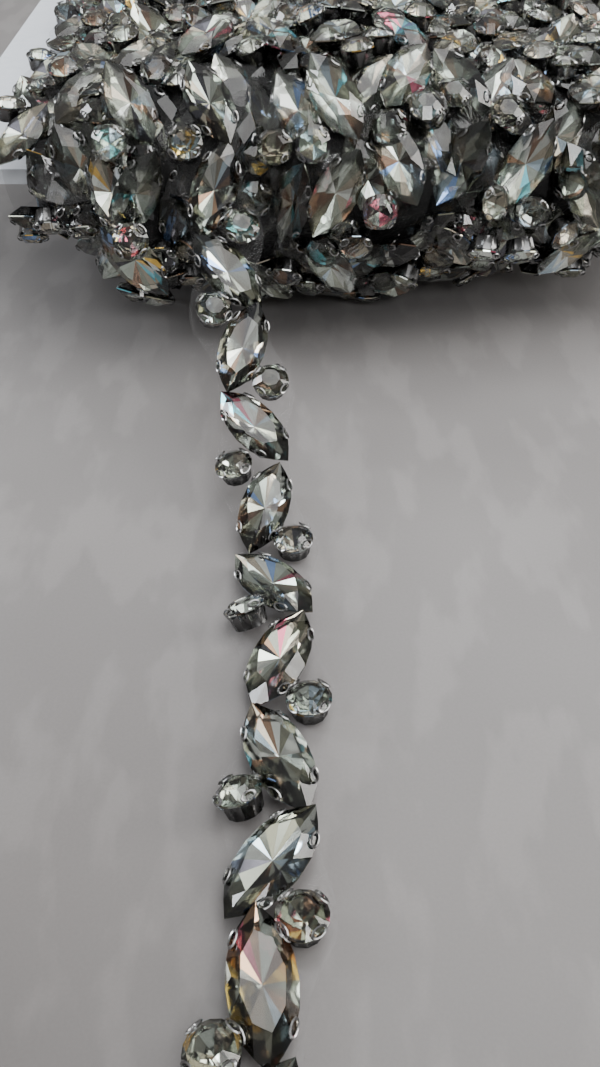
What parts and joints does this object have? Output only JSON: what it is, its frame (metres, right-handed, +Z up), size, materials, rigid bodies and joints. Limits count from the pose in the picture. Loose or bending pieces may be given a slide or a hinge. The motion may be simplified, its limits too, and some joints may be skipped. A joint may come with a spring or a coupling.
{
  "type": "rhinestone trim wound on a card",
  "caption": "Pointed-oval and round crystals in silver claw settings on a clear film, wound in courses on a white card with its loose end draped in front.",
  "frame": {"origin": "middle of the flat spot under the roll, on the surface it rests on", "axes": "+X along the card's length, +Y from the loose end towards the back of the roll, +Z up"},
  "size_m": [0.174, 0.3145, 0.0558],
  "materials": {
    "card": "smooth white coated board",
    "film": "thin clear glossy film",
    "setting": "bright silver plate gone grey in the recesses",
    "crystal": "clear cut glass with a foiled back",
    "wound_crystal": "wound courses of silver settings, foiled glass and clear film"
  },
  "bodies": {
    "root": {"card": "card", "loose_film": "film", "oval_setting_01": "setting", "oval_setting_02": "setting", "oval_setting_03": "setting", "oval_setting_04": "setting", "oval_setting_05": "setting", "oval_setting_06": "setting", "oval_setting_07": "setting", "oval_setting_08": "setting", "oval_setting_09": "setting", "oval_setting_10": "setting", "oval_setting_11": "setting", "oval_setting_12": "setting", "oval_stone_01": "crystal", "oval_stone_02": "crystal", "oval_stone_03": "crystal", "oval_stone_04": "crystal", "oval_stone_05": "crystal", "oval_stone_06": "crystal", "oval_stone_07": "crystal", "oval_stone_08": "crystal", "oval_stone_09": "crystal", "oval_stone_10": "crystal", "oval_stone_11": "crystal", "oval_stone_12": "crystal", "round_setting_01": "setting", "round_setting_02": "setting", "round_setting_03": "setting", "round_setting_04": "setting", "round_setting_05": "setting", "round_setting_06": "setting", "round_setting_07": "setting", "round_setting_08": "setting", "round_setting_09": "setting", "round_setting_10": "setting", "round_setting_11": "setting", "round_stone_01": "crystal", "round_stone_02": "crystal", "round_stone_03": "crystal", "round_stone_04": "crystal", "round_stone_05": "crystal", "round_stone_06": "crystal", "round_stone_07": "crystal", "round_stone_08": "crystal", "round_stone_09": "crystal", "round_stone_10": "crystal", "round_stone_11": "crystal", "wound_trim": "wound_crystal"}
  },
  "joints": []
}
